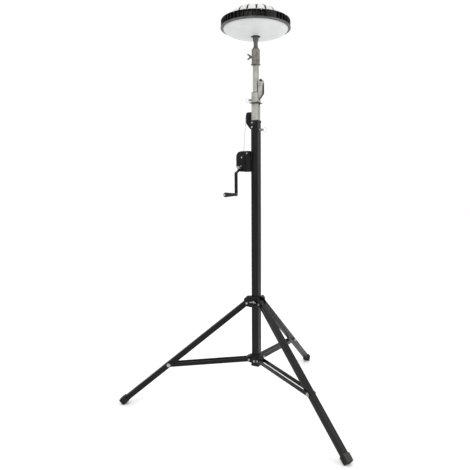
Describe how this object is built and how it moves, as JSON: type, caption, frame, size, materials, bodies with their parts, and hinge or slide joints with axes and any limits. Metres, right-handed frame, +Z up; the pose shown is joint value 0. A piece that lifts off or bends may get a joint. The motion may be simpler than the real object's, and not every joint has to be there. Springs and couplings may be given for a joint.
{
  "type": "crank lighting stand",
  "caption": "Wind-up lighting stand: folding tripod, telescoping square mast raised by a side hand winch and wire ropes, round LED lamp with opal diffuser on top.",
  "frame": {"origin": "on the floor, under the middle of the whole stand box", "axes": "+Z up along the mast; one leg points along -X and the mast axis stands 0.185 m along +X from the origin"},
  "size_m": [1.1676, 1.347, 2.1493],
  "materials": {
    "black_powder_coat": "satin powder coat",
    "rubber": "moulded",
    "zinc_plate": "bright zinc plate",
    "black_plastic": "moulded",
    "grey_steel": "machined steel, grey finish",
    "galvanised": "galvanised",
    "wire_rope": "laid wire strands",
    "opal_plastic": "opal, satin",
    "white_paint": "satin",
    "led_board": "white solder mask"
  },
  "bodies": {
    "root": {"outer_mast": "black_powder_coat", "base_hub": "black_powder_coat", "strut_bolt_1": "zinc_plate", "strut_bolt_2": "zinc_plate", "strut_bolt_3": "zinc_plate", "top_pulley_bracket": "black_powder_coat", "top_sheave_pin": "black_powder_coat", "mast_plunger_barrel": "grey_steel", "winch_frame": "black_powder_coat", "winch_cover": "black_powder_coat", "drum_axle": "zinc_plate", "brake_ratchet": "grey_steel", "lift_rope": "wire_rope"},
    "collar": {"leg_collar": "black_powder_coat", "leg_bolt_1": "zinc_plate", "leg_bolt_2": "zinc_plate", "leg_bolt_3": "zinc_plate"},
    "lock": {"collar_lock": "zinc_plate"},
    "leg_1_body": {"leg_1": "black_powder_coat", "foot_1": "rubber"},
    "strut_1_body": {"strut_1_left": "black_powder_coat", "strut_1_right": "black_powder_coat"},
    "leg_2_body": {"leg_2": "black_powder_coat", "foot_2": "rubber"},
    "strut_2_body": {"strut_2_left": "black_powder_coat", "strut_2_right": "black_powder_coat"},
    "leg_3_body": {"leg_3": "black_powder_coat", "foot_3": "rubber"},
    "strut_3_body": {"strut_3_left": "black_powder_coat", "strut_3_right": "black_powder_coat"},
    "top_sheave_body": {"top_sheave": "zinc_plate"},
    "mast_plunger_body": {"mast_plunger_pin": "zinc_plate", "mast_plunger_ring": "zinc_plate"},
    "drum_body": {"drum": "zinc_plate", "drum_gear": "grey_steel"},
    "crank_body": {"crank_shaft": "zinc_plate", "crank_arm": "black_powder_coat", "crank_nut": "zinc_plate"},
    "grip_body": {"crank_grip": "black_plastic"},
    "pawl_body": {"pawl": "zinc_plate"},
    "section_1": {"section_1_tube": "galvanised", "head_bracket": "galvanised", "head_sheave_pin": "zinc_plate", "head_plunger_barrel": "grey_steel", "rope_guard": "black_plastic", "second_rope": "wire_rope", "stop_plate": "black_powder_coat"},
    "head_sheave_body": {"head_sheave": "zinc_plate"},
    "head_plunger_body": {"head_plunger_pin": "zinc_plate", "head_plunger_ring": "zinc_plate"},
    "section_2": {"section_2_tube": "galvanised", "lamp_socket": "grey_steel"},
    "wing_body": {"wing_screw": "zinc_plate"},
    "lamp": {"lamp_spigot": "black_powder_coat", "diffuser": "opal_plastic", "lamp_housing": "black_powder_coat", "inlet_gland": "black_plastic", "led_board": "led_board", "led_driver": "zinc_plate", "vent_dome": "white_paint"}
  },
  "joints": [
    {"name": "collar_slide", "type": "slide", "parent": "root", "child": "collar", "axis": [0, 0, 1], "range_m": [0, 0.68]},
    {"name": "leg_1_hinge", "type": "hinge", "parent": "collar", "child": "leg_1_body", "pos_m": [0.12965, 0, 0.571], "axis": [0, -1, 0], "range_deg": [0, 48.6]},
    {"name": "strut_1_hinge", "type": "hinge", "parent": "root", "child": "strut_1_body", "pos_m": [0.14065, 0, 0.2505], "axis": [0, 1, 0], "range_deg": [0, 88.4]},
    {"name": "leg_2_hinge", "type": "hinge", "parent": "collar", "child": "leg_2_body", "pos_m": [0.21215, -0.04763, 0.571], "axis": [0.866, 0.5, 0], "range_deg": [0, 48.6]},
    {"name": "strut_2_hinge", "type": "hinge", "parent": "root", "child": "strut_2_body", "pos_m": [0.20665, -0.03811, 0.2505], "axis": [-0.866, -0.5, 0], "range_deg": [0, 88.4]},
    {"name": "leg_3_hinge", "type": "hinge", "parent": "collar", "child": "leg_3_body", "pos_m": [0.21215, 0.04763, 0.571], "axis": [-0.866, 0.5, 0], "range_deg": [0, 48.6]},
    {"name": "strut_3_hinge", "type": "hinge", "parent": "root", "child": "strut_3_body", "pos_m": [0.20665, 0.03811, 0.2505], "axis": [0.866, -0.5, 0], "range_deg": [0, 88.4]},
    {"name": "collar_lock_turn", "type": "hinge", "parent": "collar", "child": "lock", "pos_m": [0.16965, -0.02598, 0.578], "axis": [-0.5, -0.866, 0], "range_deg": [0, 180]},
    {"name": "mast_lift", "type": "slide", "parent": "root", "child": "section_1", "axis": [0, 0, 1], "range_m": [0, 1.05]},
    {"name": "section_2_slide", "type": "slide", "parent": "section_1", "child": "section_2", "axis": [0, 0, 1], "range_m": [0, 1.051]},
    {"name": "top_sheave_spin", "type": "hinge", "parent": "root", "child": "top_sheave_body", "pos_m": [0.1507, 0.0196, 1.58], "axis": [-0.5, -0.866, 0], "range_deg": [0, 2617.68]},
    {"name": "drum_spin", "type": "hinge", "parent": "root", "child": "drum_body", "pos_m": [0.13771, 0.0271, 1.342], "axis": [-0.5, -0.866, 0], "range_deg": [0, 2267.93]},
    {"name": "crank_spin", "type": "hinge", "parent": "root", "child": "crank_body", "pos_m": [0.11885, 0.03799, 1.31147], "axis": [-0.5, -0.866, 0], "range_deg": [-9068.74, 0]},
    {"name": "grip_spin", "type": "hinge", "parent": "crank_body", "child": "grip_body", "pos_m": [0.04385, -0.09192, 1.16747], "axis": [-0.5, -0.866, 0], "continuous": true},
    {"name": "pawl_swing", "type": "hinge", "parent": "root", "child": "pawl_body", "pos_m": [0.1607, 0.04847, 1.31347], "axis": [0.5, 0.866, 0], "range_deg": [0, 25], "stiffness_Nm_per_rad": 0.05, "springref_deg": -11.46},
    {"name": "mast_plunger_pull", "type": "slide", "parent": "root", "child": "mast_plunger_body", "axis": [0.866, -0.5, 0], "range_m": [0, 0.008], "stiffness_N_per_m": 600, "springref_m": -0.004},
    {"name": "head_sheave_spin", "type": "hinge", "parent": "section_1", "child": "head_sheave_body", "pos_m": [0.2115, -0.0155, 1.757], "axis": [-0.5, -0.866, 0], "range_deg": [-5734.58, 0]},
    {"name": "head_plunger_pull", "type": "slide", "parent": "section_1", "child": "head_plunger_body", "axis": [-0.866, 0.5, 0], "range_m": [0, 0.008], "stiffness_N_per_m": 600, "springref_m": -0.004},
    {"name": "wing_screw_turn", "type": "hinge", "parent": "section_2", "child": "wing_body", "pos_m": [0.15465, 0, 1.893], "axis": [-1, 0, 0], "range_deg": [0, 270]},
    {"name": "lamp_turn", "type": "hinge", "parent": "section_2", "child": "lamp", "pos_m": [0.18465, 0, 1.95], "axis": [0, 0, 1], "continuous": true}
  ],
  "couplings": [
    {"joint": "leg_1_hinge", "follows": "collar_slide", "rad_per_m": 1.2396},
    {"joint": "strut_1_hinge", "follows": "collar_slide", "rad_per_m": 2.2611},
    {"joint": "leg_2_hinge", "follows": "collar_slide", "rad_per_m": 1.2396},
    {"joint": "strut_2_hinge", "follows": "collar_slide", "rad_per_m": 2.2611},
    {"joint": "leg_3_hinge", "follows": "collar_slide", "rad_per_m": 1.2396},
    {"joint": "strut_3_hinge", "follows": "collar_slide", "rad_per_m": 2.2611},
    {"joint": "section_2_slide", "follows": "mast_lift", "ratio": 1},
    {"joint": "top_sheave_spin", "follows": "mast_lift", "rad_per_m": 43.478},
    {"joint": "drum_spin", "follows": "mast_lift", "rad_per_m": 37.665},
    {"joint": "crank_spin", "follows": "mast_lift", "rad_per_m": -150.66},
    {"joint": "head_sheave_spin", "follows": "mast_lift", "rad_per_m": -95.238}
  ]
}
